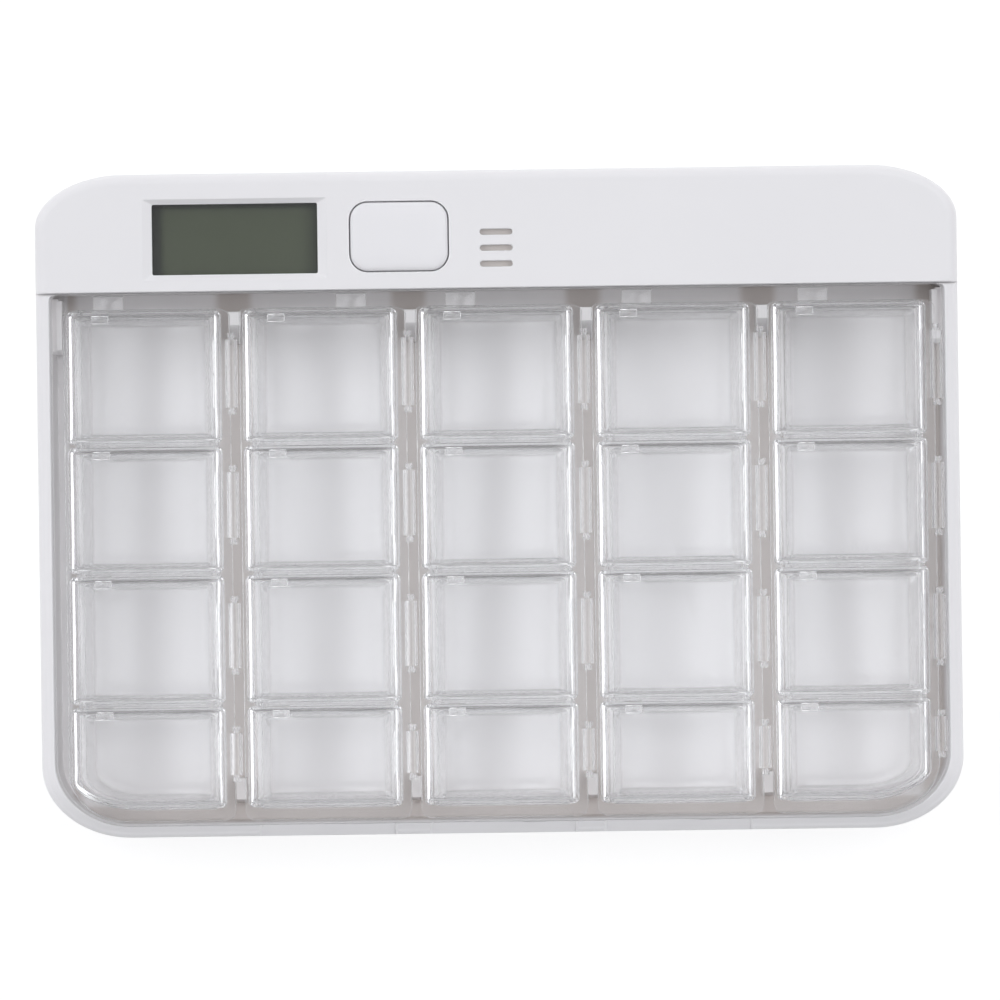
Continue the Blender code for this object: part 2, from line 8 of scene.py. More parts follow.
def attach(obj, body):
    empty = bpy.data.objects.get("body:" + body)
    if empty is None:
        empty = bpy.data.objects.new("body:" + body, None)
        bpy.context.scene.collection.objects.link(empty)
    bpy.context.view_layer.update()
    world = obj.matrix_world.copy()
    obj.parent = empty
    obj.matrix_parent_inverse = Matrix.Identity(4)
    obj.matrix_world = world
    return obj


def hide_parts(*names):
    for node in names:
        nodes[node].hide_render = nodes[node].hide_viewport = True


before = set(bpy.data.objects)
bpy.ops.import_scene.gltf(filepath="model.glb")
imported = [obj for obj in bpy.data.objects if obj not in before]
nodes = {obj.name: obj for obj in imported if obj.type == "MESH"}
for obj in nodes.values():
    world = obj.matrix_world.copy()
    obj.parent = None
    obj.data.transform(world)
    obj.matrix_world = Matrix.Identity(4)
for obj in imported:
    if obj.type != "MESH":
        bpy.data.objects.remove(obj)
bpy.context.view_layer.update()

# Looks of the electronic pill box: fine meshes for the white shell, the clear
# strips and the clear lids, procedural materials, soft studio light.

MM = 0.001
scene = bpy.context.scene

# ---------------------------------------------------------------- dimensions
# Millimetres, the same frame and the same values as the solids.
HALF_W, HALF_D = 90.0, 64.75
Z_BOTTOM, Z_FLOOR, Z_RIM, Z_COVER = 0.8, 3.2, 26.6, 27.0
PLATE, Z_SEAM, COVER_Y, GAP = 2.0, 15.0, 41.6, 0.3
REAR_R, FRONT_R = (17.4, 10.5), (17.6, 14.1)
REC_X, REC_Y0, REC_Y1, REC_R = 87.05, -62.3, 41.45, (14.6, 12.4)
BAY_X, BAY_Y0, BAY_Y1 = 87.5, 43.0, 62.6
PITCH, LID_W = 34.43, 30.25
COL_X0 = [-15.35 + PITCH * (k - 2) for k in range(5)]
ROW_Y = [38.4, 11.85, -13.4, -39.05, -59.4]
LID_GAP = 0.22
Z_STRIP0, Z_FL0, Z_FL1 = 3.5, 21.3, 22.3
FLANGE_X, FLANGE_Y = (-0.65, 31.95), (-61.75, 38.4)
BODY_X, BODY_Y = (1.7, 29.3), (-59.3, 37.9)
POCKET_X = (2.9, 28.1)
POCKETS_Y = [(11.5, 36.6), (-13.7, 10.3), (-39.35, -14.9), (-58.1, -40.55)]
Z_LID0, Z_LID1 = 22.7, 25.2
HINGE_X, HINGE_Z, KNUCKLE, PIN_R = 32.2, 23.6, (1.2, 1.0), 0.45
TABS_Y = [(19.0, 32.3), (-6.4, 6.4), (-31.9, -19.2), (-52.8, -44.6)]
TAB_LAST = (-49.9, -43.2)
LCD_C, LCD_WIN, LCD_FRAME = (-50.97, 51.87), (32.3, 13.75), (36.1, 15.9)
BTN_C, BTN_HOLE, BTN_R = (-18.9, 51.95), (19.45, 13.8), 3.6
SLOT_X, SLOT_Y, SLOT = 0.05, (52.6, 49.48, 46.38), (6.35, 1.1)
COVER_SCREWS = [(-79.0, 58.3), (79.0, 58.3), (-80.5, 46.3), (80.5, 46.3)]
FEET = [(-65.0, 52.5), (65.0, 52.5), (-72.0, -48.0), (72.0, -48.0)]
DOOR_X = 52.0


# ----------------------------------------------------------- camera and light
def make_camera():
    cam = bpy.data.cameras.new("camera")
    ob = bpy.data.objects.new("camera", cam)
    scene.collection.objects.link(ob)
    cam.sensor_width = 36.0
    cam.lens = 442.56
    cam.clip_start, cam.clip_end = 0.05, 20.0
    ob.location = (0.000124, 0.000245, 2.4256)
    ob.rotation_euler = (0.0, 0.0, math.radians(-0.78))
    scene.camera = ob


def make_world():
    """A dim room with a soft light panel on either side, the left one stronger."""
    w = bpy.data.worlds.new("studio")
    scene.world = w
    w.use_nodes = True
    nt = w.node_tree
    nt.nodes.clear()
    add, link = nt.nodes.new, nt.links.new
    coord = add("ShaderNodeTexCoord")
    sep = add("ShaderNodeSeparateXYZ")
    link(coord.outputs["Generated"], sep.inputs[0])

    def math_node(op, a, b=None, clamp=False):
        n = add("ShaderNodeMath")
        n.operation, n.use_clamp = op, clamp
        for i, v in enumerate((a, b)):
            if v is None:
                continue
            if isinstance(v, (int, float)):
                n.inputs[i].default_value = v
            else:
                link(v, n.inputs[i])
        return n.outputs[0]

    def ramp(v, a, b):
        n = add("ShaderNodeMapRange")
        n.interpolation_type = "SMOOTHSTEP"
        link(v, n.inputs["Value"])
        n.inputs["From Min"].default_value = a
        n.inputs["From Max"].default_value = b
        return n.outputs["Result"]

    z = math_node("MAXIMUM", sep.outputs["Z"], 0.02)
    u = math_node("DIVIDE", sep.outputs["X"], z)
    v = math_node("DIVIDE", sep.outputs["Y"], z)

    def panel(u0, u1, v0, v1, soft_in, soft):
        """A soft-edged rectangle on the plane above; soft_in is the width of
        the edge towards the middle of the room."""
        if u0 >= 0:
            a, b = ramp(u, u0 - soft_in, u0 + soft_in), ramp(u, u1 + soft, u1 - soft)
        else:
            a, b = ramp(u, u0 - soft, u0 + soft), ramp(u, u1 + soft_in, u1 - soft_in)
        c, d = ramp(v, v0 - soft, v0 + soft), ramp(v, v1 + soft, v1 - soft)
        return math_node("MULTIPLY", math_node("MULTIPLY", a, b), math_node("MULTIPLY", c, d))

    left = math_node("MULTIPLY", panel(-1.0, -0.45, -0.05, 0.85, 0.06, 0.10), 2.2)
    right = math_node("MULTIPLY", panel(0.30, 1.0, -0.05, 0.85, 0.08, 0.10), 1.7)

    def box(u0, u1, v0, v1, soft):
        a, b = ramp(u, u0 - soft, u0 + soft), ramp(u, u1 + soft, u1 - soft)
        c, d = ramp(v, v0 - soft, v0 + soft), ramp(v, v1 + soft, v1 - soft)
        return math_node("MULTIPLY", math_node("MULTIPLY", a, b), math_node("MULTIPLY", c, d))

    # A pale ceiling board around the camera, brighter to its right and front,
    # which the lids mirror.
    toward_right = math_node("MULTIPLY", ramp(u, -0.01, 0.13), 2.1)
    toward_left = math_node("MULTIPLY", ramp(u, -0.06, -0.15), 1.3)
    toward_front = math_node("MULTIPLY", ramp(v, 0.12, -0.12), 0.45)
    board = math_node("ADD", math_node("ADD", toward_right, toward_left), toward_front)
    around = box(-0.36, 0.30, -0.22, 0.34, 0.06)
    board = math_node("MULTIPLY", board, around)
    # A pale room that brightens towards the walls.
    wall = math_node("MULTIPLY_ADD", ramp(sep.outputs["Z"], 0.9, 0.15), 0.12)
    wall.node.inputs[2].default_value = 0.52
    shade_under = math_node("SUBTRACT", 1.0, math_node("MULTIPLY", around, 0.3))
    wall = math_node("MULTIPLY", wall, shade_under)
    # The side of the room in front of the part is darker.
    dim = math_node("MULTIPLY", ramp(sep.outputs["Y"], -0.10, -0.55), 0.48)
    wall = math_node("MULTIPLY", wall, math_node("SUBTRACT", 1.0, dim))
    # The room is brighter low down on both sides.
    low_left = math_node("MULTIPLY", ramp(sep.outputs["X"], -0.60, -0.82), 0.30)
    low_right = math_node("MULTIPLY", ramp(sep.outputs["X"], 0.60, 0.82), 0.16)
    wall = math_node("ADD", wall, math_node("ADD", low_left, low_right))
    total = math_node("ADD", math_node("ADD", left, right), wall)
    total = math_node("ADD", total, board)
    bg = add("ShaderNodeBackground")
    bg.inputs["Color"].default_value = (0.965, 0.975, 1.0, 1.0)
    link(total, bg.inputs["Strength"])
    out = add("ShaderNodeOutputWorld")
    link(bg.outputs[0], out.inputs["Surface"])
    w.cycles.sampling_method = "MANUAL"
    w.cycles.sample_map_resolution = 1024


def make_floor():
    me = bpy.data.meshes.new("studio_floor")
    s = 4.0
    me.from_pydata([(-s, -s, 0), (s, -s, 0), (s, s, 0), (-s, s, 0)], [], [(0, 1, 2, 3)])
    ob = bpy.data.objects.new("studio_floor", me)
    scene.collection.objects.link(ob)
    m = bpy.data.materials.new("floor_paper")
    m.use_nodes = True
    p = m.node_tree.nodes["Principled BSDF"]
    p.inputs["Base Color"].default_value = (0.45, 0.45, 0.45, 1)
    p.inputs["Roughness"].default_value = 0.9
    p.inputs["Specular IOR Level"].default_value = 0.0
    p.inputs["Emission Color"].default_value = (1, 1, 1, 1)
    p.inputs["Emission Strength"].default_value = 0.67
    me.materials.append(m)


def settings():
    scene.view_settings.view_transform = "Standard"
    scene.view_settings.look = "None"
    scene.view_settings.exposure = 0.0
    scene.view_settings.gamma = 1.0
    c = scene.cycles
    c.max_bounces = 32
    c.diffuse_bounces = 5
    c.glossy_bounces = 12
    c.transmission_bounces = 28
    c.transparent_max_bounces = 32
    c.caustics_reflective = False
    c.caustics_refractive = False
    c.sample_clamp_indirect = 6.0
    c.use_denoising = True


# ------------------------------------------------------------------ materials
class Nodes:
    """A little help for wiring a material."""

    def __init__(self, name):
        self.mat = bpy.data.materials.new(name)
        self.mat.use_nodes = True
        self.tree = self.mat.node_tree
        self.bsdf = self.tree.nodes["Principled BSDF"]
        self.out = self.tree.nodes["Material Output"]
        self.coord = self.new("ShaderNodeTexCoord").outputs["Object"]

    def new(self, kind, **props):
        n = self.tree.nodes.new(kind)
        for k, v in props.items():
            setattr(n, k, v)
        return n

    def link(self, a, b):
        self.tree.links.new(a, b)

    def set(self, **values):
        for k, v in values.items():
            self.bsdf.inputs[k.replace("_", " ")].default_value = v

    def noise(self, scale, detail=2.0, rough=0.5, vector=None, stretch=None):
        n = self.new("ShaderNodeTexNoise")
        n.inputs["Scale"].default_value = scale
        n.inputs["Detail"].default_value = detail
        n.inputs["Roughness"].default_value = rough
        v = vector or self.coord
        if stretch:
            m = self.new("ShaderNodeMapping")
            m.inputs["Scale"].default_value = stretch
            self.link(v, m.inputs["Vector"])
            v = m.outputs["Vector"]
        self.link(v, n.inputs["Vector"])
        return n.outputs["Fac"]

    def remap(self, v, a, b, c, d):
        n = self.new("ShaderNodeMapRange")
        self.link(v, n.inputs["Value"])
        for k, x in zip(("From Min", "From Max", "To Min", "To Max"), (a, b, c, d)):
            n.inputs[k].default_value = x
        return n.outputs["Result"]

    def mix(self, fac, a, b):
        n = self.new("ShaderNodeMix", data_type="RGBA")
        self.link(fac, n.inputs["Factor"])
        n.inputs["A"].default_value = (*a, 1)
        n.inputs["B"].default_value = (*b, 1)
        return n.outputs["Result"]

    def bump(self, height, strength, distance, normal=None):
        n = self.new("ShaderNodeBump")
        n.inputs["Strength"].default_value = strength
        n.inputs["Distance"].default_value = distance
        self.link(height, n.inputs["Height"])
        if normal is not None:
            self.link(normal, n.inputs["Normal"])
        return n.outputs["Normal"]


def moulded(name, a, b, rough, texture=0.25, spec=0.5, front=1.0):
    """Moulded plastic: fine eroded texture, slow variation of tone and gloss,
    and painted shade: a darker tone towards the front edge where front is below 1."""
    n = Nodes(name)
    tone = n.mix(n.remap(n.noise(28, 3), 0.35, 0.65, 0, 1), a, b)
    if front < 1.0:
        # Painted shade towards the front edge.
        place = n.new("ShaderNodeSeparateXYZ")
        n.link(n.coord, place.inputs[0])
        front_shade = n.new("ShaderNodeMix", data_type="RGBA")
        n.link(n.remap(place.outputs["Y"], -0.054, -0.0625, 0, 1), front_shade.inputs["Factor"])
        n.link(tone, front_shade.inputs["A"])
        front_shade.inputs["B"].default_value = (*(c * front for c in b), 1)
        tone = front_shade.outputs["Result"]
    n.link(tone, n.bsdf.inputs["Base Color"])
    n.link(n.remap(n.noise(240, 2), 0.3, 0.7, rough - 0.05, rough + 0.05), n.bsdf.inputs["Roughness"])
    fine = n.noise(5200, 1.5)
    n.link(n.bump(fine, texture, 0.00003, n.bump(n.noise(120, 1), 0.08, 0.0001)),
           n.bsdf.inputs["Normal"])
    n.bsdf.inputs["Specular IOR Level"].default_value = spec
    return n.mat


def painted_shade_interior(name):
    """The shell's plastic inside the recess, as a shaded copy: darker and warmer
    than the shell, with painted shade of deep brown in the narrow channels."""
    n = Nodes(name)
    tone = n.remap(n.noise(28, 3), 0.35, 0.65, 0, 1)
    # high is the lit tone and low the painted shade tone, both darker than the shell.
    high = n.mix(tone, (0.838, 0.822, 0.822), (0.850, 0.834, 0.834))
    low = n.mix(tone, (0.640, 0.597, 0.573), (0.655, 0.612, 0.588))
    sep = n.new("ShaderNodeSeparateXYZ")
    n.link(n.coord, sep.inputs[0])

    def step(v, a, b):
        r = n.new("ShaderNodeMapRange", interpolation_type="SMOOTHSTEP")
        n.link(v, r.inputs["Value"])
        r.inputs["From Min"].default_value, r.inputs["From Max"].default_value = a * MM, b * MM
        return r.outputs["Result"]

    def calc(op, a, b=None):
        m = n.new("ShaderNodeMath", operation=op)
        for i, v in enumerate((a, b)):
            if isinstance(v, (int, float)):
                m.inputs[i].default_value = v
            elif v is not None:
                n.link(v, m.inputs[i])
        return m.outputs[0]
    x, y, z = (sep.outputs[k] for k in "XYZ")
    # How far a place is from the middle of its column of compartments.
    turn = calc("FRACT", calc("DIVIDE", calc("ADD", x, (PITCH * 3.5 + 0.2) * MM), PITCH * MM))
    across = calc("MULTIPLY", calc("ABSOLUTE", calc("SUBTRACT", turn, 0.5)), PITCH * MM)
    # Painted shade: the channels between the strips, the front and the right side turn brown, more so low down.
    channel = step(across, 12.9, 14.9)
    channel = calc("MULTIPLY", channel, step(x, -84.9, -84.2))
    front, sides = step(y, -58.6, -59.6), step(x, 82.4, 83.4)
    narrow = calc("MAXIMUM", calc("MAXIMUM", channel, front), sides)
    deep = calc("MULTIPLY", narrow, step(z, 21.0, 3.0))
    shade_mix = n.new("ShaderNodeMix", data_type="RGBA")
    n.link(deep, shade_mix.inputs["Factor"])
    n.link(high, shade_mix.inputs["A"])
    n.link(low, shade_mix.inputs["B"])
    n.link(shade_mix.outputs["Result"], n.bsdf.inputs["Base Color"])
    n.link(n.remap(n.noise(240, 2), 0.3, 0.7, 0.40, 0.50), n.bsdf.inputs["Roughness"])
    n.link(n.bump(n.noise(5200, 1.5), 0.25, 0.00003, n.bump(n.noise(120, 1), 0.08, 0.0001)),
           n.bsdf.inputs["Normal"])
    return n.mat


def clear(name, tint, through, rough=0.0, wave=0.003, ior=1.54, hold=0.84, deep=7.5):
    """Clear polystyrene: refracts what the eye and mirrors see, and lets the
    studio light through, a little dimmed at every face."""
    n = Nodes(name)
    n.link(n.mix(n.remap(n.noise(60, 2), 0.3, 0.7, 0, 1), tint,
                 tuple(c * 0.994 for c in tint)), n.bsdf.inputs["Base Color"])
    n.set(Transmission_Weight=1.0, IOR=ior, Roughness=rough)
    n.link(n.bump(n.noise(150, 1.0), wave, 0.0001),
           n.bsdf.inputs["Normal"])
    path = n.new("ShaderNodeLightPath")
    either = n.new("ShaderNodeMath", operation="MAXIMUM")
    n.link(path.outputs["Is Shadow Ray"], either.inputs[0])
    n.link(path.outputs["Is Diffuse Ray"], either.inputs[1])
    # Light that is still inside the walls after many turns is let out.
    turns = n.new("ShaderNodeMath", operation="GREATER_THAN")
    n.link(path.outputs["Ray Depth"], turns.inputs[0])
    turns.inputs[1].default_value = deep
    again = n.new("ShaderNodeMath", operation="MAXIMUM")
    n.link(either.outputs[0], again.inputs[0])
    n.link(turns.outputs[0], again.inputs[1])
    # Faces met at a glancing angle hold back more light.
    edge = n.new("ShaderNodeLayerWeight")
    edge.inputs["Blend"].default_value = 0.5
    see = n.new("ShaderNodeBsdfTransparent")
    n.link(n.mix(n.remap(edge.outputs["Facing"], 0.25, 0.95, 0, 1), through,
                 tuple(c * hold for c in through)), see.inputs["Color"])
    mix = n.new("ShaderNodeMixShader")
    n.link(again.outputs[0], mix.inputs["Fac"])
    n.link(n.bsdf.outputs[0], mix.inputs[1])
    n.link(see.outputs[0], mix.inputs[2])
    n.link(mix.outputs[0], n.out.inputs["Surface"])
    return n.mat


def metal(name, a, b, rough, stretch=(1, 1, 1)):
    n = Nodes(name)
    n.link(n.mix(n.remap(n.noise(400, 3, stretch=stretch), 0.3, 0.7, 0, 1), a, b),
           n.bsdf.inputs["Base Color"])
    n.link(n.remap(n.noise(900, 2, stretch=stretch), 0.3, 0.7, rough - 0.06, rough + 0.08),
           n.bsdf.inputs["Roughness"])
    n.link(n.bump(n.noise(2500, 2, stretch=stretch), 0.15, 0.00002), n.bsdf.inputs["Normal"])
    n.set(Metallic=1.0)
    return n.mat


def display(name):
    """Blank reflective display: olive grey, with painted shadow of the window's frame
    along its edges, widest at the left and the rear."""
    n = Nodes(name)
    base = n.mix(n.remap(n.noise(35, 2), 0.3, 0.7, 0, 1), (0.066, 0.076, 0.044), (0.074, 0.085, 0.050))
    sep = n.new("ShaderNodeSeparateXYZ")
    n.link(n.coord, sep.inputs[0])
    x0, x1 = (LCD_C[0] - LCD_WIN[0] / 2) * MM, (LCD_C[0] + LCD_WIN[0] / 2) * MM
    y1 = (LCD_C[1] + LCD_WIN[1] / 2) * MM

    def side(v, a, b, low):
        r = n.new("ShaderNodeMapRange", interpolation_type="SMOOTHSTEP")
        n.link(v, r.inputs["Value"])
        for key, val in zip(("From Min", "From Max", "To Min", "To Max"), (a, b, low, 1.0)):
            r.inputs[key].default_value = val
        return r.outputs["Result"]
    # Painted shadow of the window frame: darkest at the left, then the rear, lightest at the right.
    frame_shadow = [side(sep.outputs["X"], x0 + 0.0009, x0 + 0.0030, 0.22),
             side(sep.outputs["X"], x1 - 0.0001, x1 - 0.0036, 0.62),
             side(sep.outputs["Y"], y1 - 0.0002, y1 - 0.0016, 0.30)]
    total = frame_shadow[0]
    for part in frame_shadow[1:]:
        m = n.new("ShaderNodeMath", operation="MULTIPLY")
        n.link(total, m.inputs[0])
        n.link(part, m.inputs[1])
        total = m.outputs[0]
    shade_mix = n.new("ShaderNodeMix", data_type="RGBA", blend_type="MULTIPLY")
    shade_mix.inputs["Factor"].default_value = 1.0
    n.link(base, shade_mix.inputs["A"])
    n.link(total, shade_mix.inputs["B"])
    n.link(shade_mix.outputs["Result"], n.bsdf.inputs["Base Color"])
    n.set(Roughness=0.35)
    n.bsdf.inputs["Specular IOR Level"].default_value = 0.2
    n.link(n.bump(n.noise(6000, 1), 0.05, 0.00001), n.bsdf.inputs["Normal"])
    return n.mat


def board_mat(name):
    n = Nodes(name)
    v = n.new("ShaderNodeTexVoronoi", feature="DISTANCE_TO_EDGE")
    v.inputs["Scale"].default_value = 420
    n.link(n.coord, v.inputs["Vector"])
    n.link(n.mix(n.remap(v.outputs["Distance"], 0.02, 0.06, 0, 1), (0.03, 0.20, 0.09), (0.02, 0.13, 0.06)),
           n.bsdf.inputs["Base Color"])
    n.set(Roughness=0.35)
    return n.mat


MAT = {
    # front=0.90 paints shade along the shell's front edge.
    "shell": moulded("white_abs", (0.868, 0.856, 0.868), (0.878, 0.866, 0.878), 0.42, front=0.90),
    # A darker, warmer copy of the shell for the recess: painted shade.
    "inside": painted_shade_interior("white_abs_inside_painted_shade"),
    "button": moulded("white_button_abs", (0.870, 0.860, 0.876), (0.880, 0.870, 0.886), 0.36, 0.15),
    "strip": clear("clear_strip_styrene", (0.995, 0.996, 0.998), (0.998, 0.9985, 1.0), 0.1, hold=0.84),
    "lid": clear("clear_lid_styrene", (0.995, 0.996, 0.998), (0.971, 0.972, 0.975), 0.1, hold=0.87),
    "lens": clear("clear_lens_acrylic", (0.97, 0.985, 0.99), (0.96, 0.97, 0.97), 0.01, 0.01, 1.49),
    "display": display("display_glass"),
    # A whiter, glossier copy of the shell for the chamfers round the openings: painted highlight.
    "edge": moulded("white_abs_painted_highlight", (0.93, 0.925, 0.935), (0.94, 0.935, 0.945), 0.25, 0.1, 0.8),
    "mesh": moulded("grey_sound_mesh", (0.66, 0.62, 0.59), (0.72, 0.68, 0.65), 0.8, 0.6, 0.2),
    "black": moulded("black_plastic", (0.022, 0.022, 0.024), (0.03, 0.03, 0.032), 0.5),
    "white_frame": moulded("white_frame_plastic", (0.62, 0.62, 0.62), (0.66, 0.66, 0.66), 0.5),
    "board": board_mat("green_solder_mask"),
    "steel": metal("nickel_steel", (0.56, 0.56, 0.57), (0.66, 0.66, 0.66), 0.28),
    "rubber": moulded("grey_rubber", (0.17, 0.17, 0.175), (0.21, 0.21, 0.215), 0.78, 0.5, 0.3),
    "silicone": moulded("silicone_rubber", (0.46, 0.46, 0.47), (0.52, 0.52, 0.53), 0.6, 0.3),
    "cell": metal("cell_sleeve", (0.10, 0.22, 0.15), (0.14, 0.28, 0.19), 0.35),
    "zebra": moulded("layered_rubber", (0.30, 0.28, 0.27), (0.50, 0.47, 0.45), 0.7, 0.3),
}


# ----------------------------------------------------------------- mesh tools
def corner(cx, cy, rx, ry, a0, seg, p=2.0):
    out = []
    for i in range(seg + 1):
        t = math.radians(a0 + 90.0 * i / seg)
        c, s = math.cos(t), math.sin(t)
        e = 2.0 / p
        out.append((cx + rx * math.copysign(abs(c) ** e, c) if abs(c) > 1e-9 else cx,
                    cy + ry * math.copysign(abs(s) ** e, s) if abs(s) > 1e-9 else cy))
    return out


def rrect(x0, x1, y0, y1, radii, seg, p=(2.0, 2.0, 2.0, 2.0), mid=0):
    """Rounded rectangle: front-left, front-right, rear-right, rear-left; mid
    is the number of extra points on each straight side."""
    if isinstance(seg, int):
        seg = (seg,) * 4
    rs = [r if isinstance(r, tuple) else (r, r) for r in radii]
    pts = []
    pts += corner(x0 + rs[0][0], y0 + rs[0][1], rs[0][0], rs[0][1], 180, seg[0], p[0])
    pts += corner(x1 - rs[1][0], y0 + rs[1][1], rs[1][0], rs[1][1], 270, seg[1], p[1])
    pts += corner(x1 - rs[2][0], y1 - rs[2][1], rs[2][0], rs[2][1], 0, seg[2], p[2])
    pts += corner(x0 + rs[3][0], y1 - rs[3][1], rs[3][0], rs[3][1], 90, seg[3], p[3])
    if not mid:
        return pts
    out, start = [], 0
    for s in seg:
        out += pts[start:start + s + 1]
        a, b = pts[start + s], pts[(start + s + 1) % len(pts)]
        out += [(a[0] + (b[0] - a[0]) * i / (mid + 1), a[1] + (b[1] - a[1]) * i / (mid + 1))
                for i in range(1, mid + 1)]
        start += s + 1
    return out


def inset_r(r, d, least=0.1):
    rx, ry = r if isinstance(r, tuple) else (r, r)
    return (max(rx - d, least), max(ry - d, least))


def centred(c, size, r, seg, d=0.0):
    return rrect(c[0] - size[0] / 2 + d, c[0] + size[0] / 2 - d,
                 c[1] - size[1] / 2 + d, c[1] + size[1] / 2 - d,
                 (max(r - d, 0.08),) * 4, seg)


def disc(cx, cy, r, seg, turn=0.0):
    return [(cx + r * math.cos(math.radians(turn) + 2 * math.pi * i / seg),
             cy + r * math.sin(math.radians(turn) + 2 * math.pi * i / seg))
            for i in range(seg)]


def scaled(pts, xc, yc, s):
    return [(xc + (x - xc) * s, yc + (y - yc) * s) for x, y in pts]


def crown(xc, yc, hw, hd, z0, a, b):
    """Height of a gently domed face: a across its width, b across its depth."""
    return lambda x, y: z0 + a * (1 - ((x - xc) / hw) ** 2) + b * (1 - ((y - yc) / hd) ** 2)


def loft_into(bm, loops, cap_start=True, cap_end=True):
    """Each loop is its points and its height, a number or a function of x and y."""
    rings = [[bm.verts.new((x, y, z(x, y) if callable(z) else z)) for x, y in pts]
             for pts, z in loops]
    n = len(rings[0])
    for a, b in zip(rings, rings[1:]):
        for i in range(n):
            j = (i + 1) % n
            bm.faces.new((a[i], a[j], b[j], b[i]))
    if cap_start:
        bm.faces.new(list(reversed(rings[0])))
    if cap_end:
        bm.faces.new(rings[-1])
    return bm


def loft(loops):
    return loft_into(bmesh.new(), loops)


def box_into(bm, x0, x1, y0, y1, z0, z1):
    pts = [(x0, y0), (x1, y0), (x1, y1), (x0, y1)]
    return loft_into(bm, [(pts, z0), (pts, z1)])


def soft_box_into(bm, x0, x1, y0, y1, z0, z1, r=0.2, seg=3, bottom=False):
    """A block with rounded upright edges and a rounded top edge."""
    loops = []
    if bottom:
        for i in range(seg + 1):
            a = math.radians(90 * i / seg)
            d = r * (1 - math.sin(a))
            loops.append((rrect(x0 + d, x1 - d, y0 + d, y1 - d, (max(r - d, 0.03),) * 4, seg),
                          z0 + r * (1 - math.cos(a))))
    else:
        loops.append((rrect(x0, x1, y0, y1, (r,) * 4, seg), z0))
    for i in range(seg + 1):
        a = math.radians(90 * i / seg)
        d = r * (1 - math.cos(a))
        loops.append((rrect(x0 + d, x1 - d, y0 + d, y1 - d, (max(r - d, 0.03),) * 4, seg),
                      z1 - r + r * math.sin(a)))
    return loft_into(bm, loops)


def sloped_into(bm, x0, x1, y0, y1, y2, z0, z1):
    """A rib whose top is level between y1 and y2 and curves down to z0 at y0."""
    top = [(y2, z1 - 0.25), (y2 - 0.08, z1 - 0.07), (y2 - 0.25, z1)]
    for i in range(9):
        t = i / 8.0
        top.append((y1 + (y0 - y1) * t, z1 + (z0 - z1) * t ** 1.6))
    return prism_into(bm, [(y2, Z_FLOOR - 0.5)] + top + [(y0, Z_FLOOR - 0.5)], "X", x0, x1)


def cyl_into(bm, cx, cy, r, z0, z1, seg=24):
    p = disc(cx, cy, r, seg)
    return loft_into(bm, [(p, z0), (p, z1)])


def prism_into(bm, profile, axis, a0, a1):
    """Extrudes a closed profile along X, points (Y, Z), or Y, points (X, Z)."""
    area = sum(p[0] * q[1] - q[0] * p[1] for p, q in zip(profile, profile[1:] + profile[:1]))
    pts = profile if area > 0 else list(reversed(profile))
    if axis == "X":
        lo = [bm.verts.new((a0, u, w)) for u, w in pts]
        hi = [bm.verts.new((a1, u, w)) for u, w in pts]
    else:
        lo = [bm.verts.new((u, a1, w)) for u, w in pts]
        hi = [bm.verts.new((u, a0, w)) for u, w in pts]
    n = len(pts)
    for i in range(n):
        j = (i + 1) % n
        bm.faces.new((lo[i], lo[j], hi[j], hi[i]))
    bm.faces.new(list(reversed(lo)))
    bm.faces.new(hi)
    return bm


def arc(cx, cy, r, a0, a1, seg):
    return [(cx + r * math.cos(math.radians(a0 + (a1 - a0) * i / seg)),
             cy + r * math.sin(math.radians(a0 + (a1 - a0) * i / seg))) for i in range(seg + 1)]


def mesh_object(name, bm, mats=(), angle=None):
    """angle is the smoothing limit in degrees; without it the faces stay flat."""
    for v in bm.verts:
        v.co *= MM
    me = bpy.data.meshes.new(name)
    bm.to_mesh(me)
    bm.free()
    ob = bpy.data.objects.new(name, me)
    scene.collection.objects.link(ob)
    for m in mats:
        me.materials.append(m)
    shade(me, angle)
    return ob


def shade(me, angle):
    if angle is None:
        me.shade_flat()
    else:
        me.shade_smooth()
        me.set_sharp_from_angle(angle=math.radians(angle))


def combine(ob, bm, operation, angle=None):
    tool = mesh_object(ob.name + "_tool", bm)
    mod = ob.modifiers.new("shape", "BOOLEAN")
    mod.operation, mod.solver, mod.object = operation, "EXACT", tool
    bpy.context.view_layer.update()
    deps = bpy.context.evaluated_depsgraph_get()
    me = bpy.data.meshes.new_from_object(ob.evaluated_get(deps))
    ob.modifiers.clear()
    old, mats = ob.data, list(ob.data.materials)
    ob.data = me
    me.materials.clear()
    for m in mats:
        me.materials.append(m)
    shade(me, angle)
    bpy.data.meshes.remove(old)
    tool_mesh = tool.data
    bpy.data.objects.remove(tool, do_unlink=True)
    bpy.data.meshes.remove(tool_mesh)
    return ob


def finish_piece(ob, node, body, weighted=False):
    ob.data.name = ob.name
    if weighted:
        mod = ob.modifiers.new("normals", "WEIGHTED_NORMAL")
        mod.keep_sharp = True
        mod.weight = 100
    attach(ob, body)
    if node:
        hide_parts(node)
    return ob


def paint_by_box(ob, index, inside):
    """Gives the faces whose middle answers inside() another material."""
    for f in ob.data.polygons:
        c = f.center / MM
        if inside(c, f.normal):
            f.material_index = index


# ------------------------------------------------------------------- the tray
def outline(d, seg=24):
    return rrect(-HALF_W + d, HALF_W - d, -HALF_D + d, HALF_D - d,
                 (inset_r(FRONT_R, d), inset_r(FRONT_R, d),
                  inset_r(REAR_R, d), inset_r(REAR_R, d)), seg)


def quarter(w, h, seg, up=True):
    """Steps of a rounded edge: (inset, height) pairs, w wide and h high."""
    out = []
    for i in range(seg + 1):
        a = math.radians(90 * i / seg)
        out.append((w * (1 - math.cos(a)), h * math.sin(a)) if up
                   else (w * (1 - math.sin(a)), h * (1 - math.cos(a))))
    return out


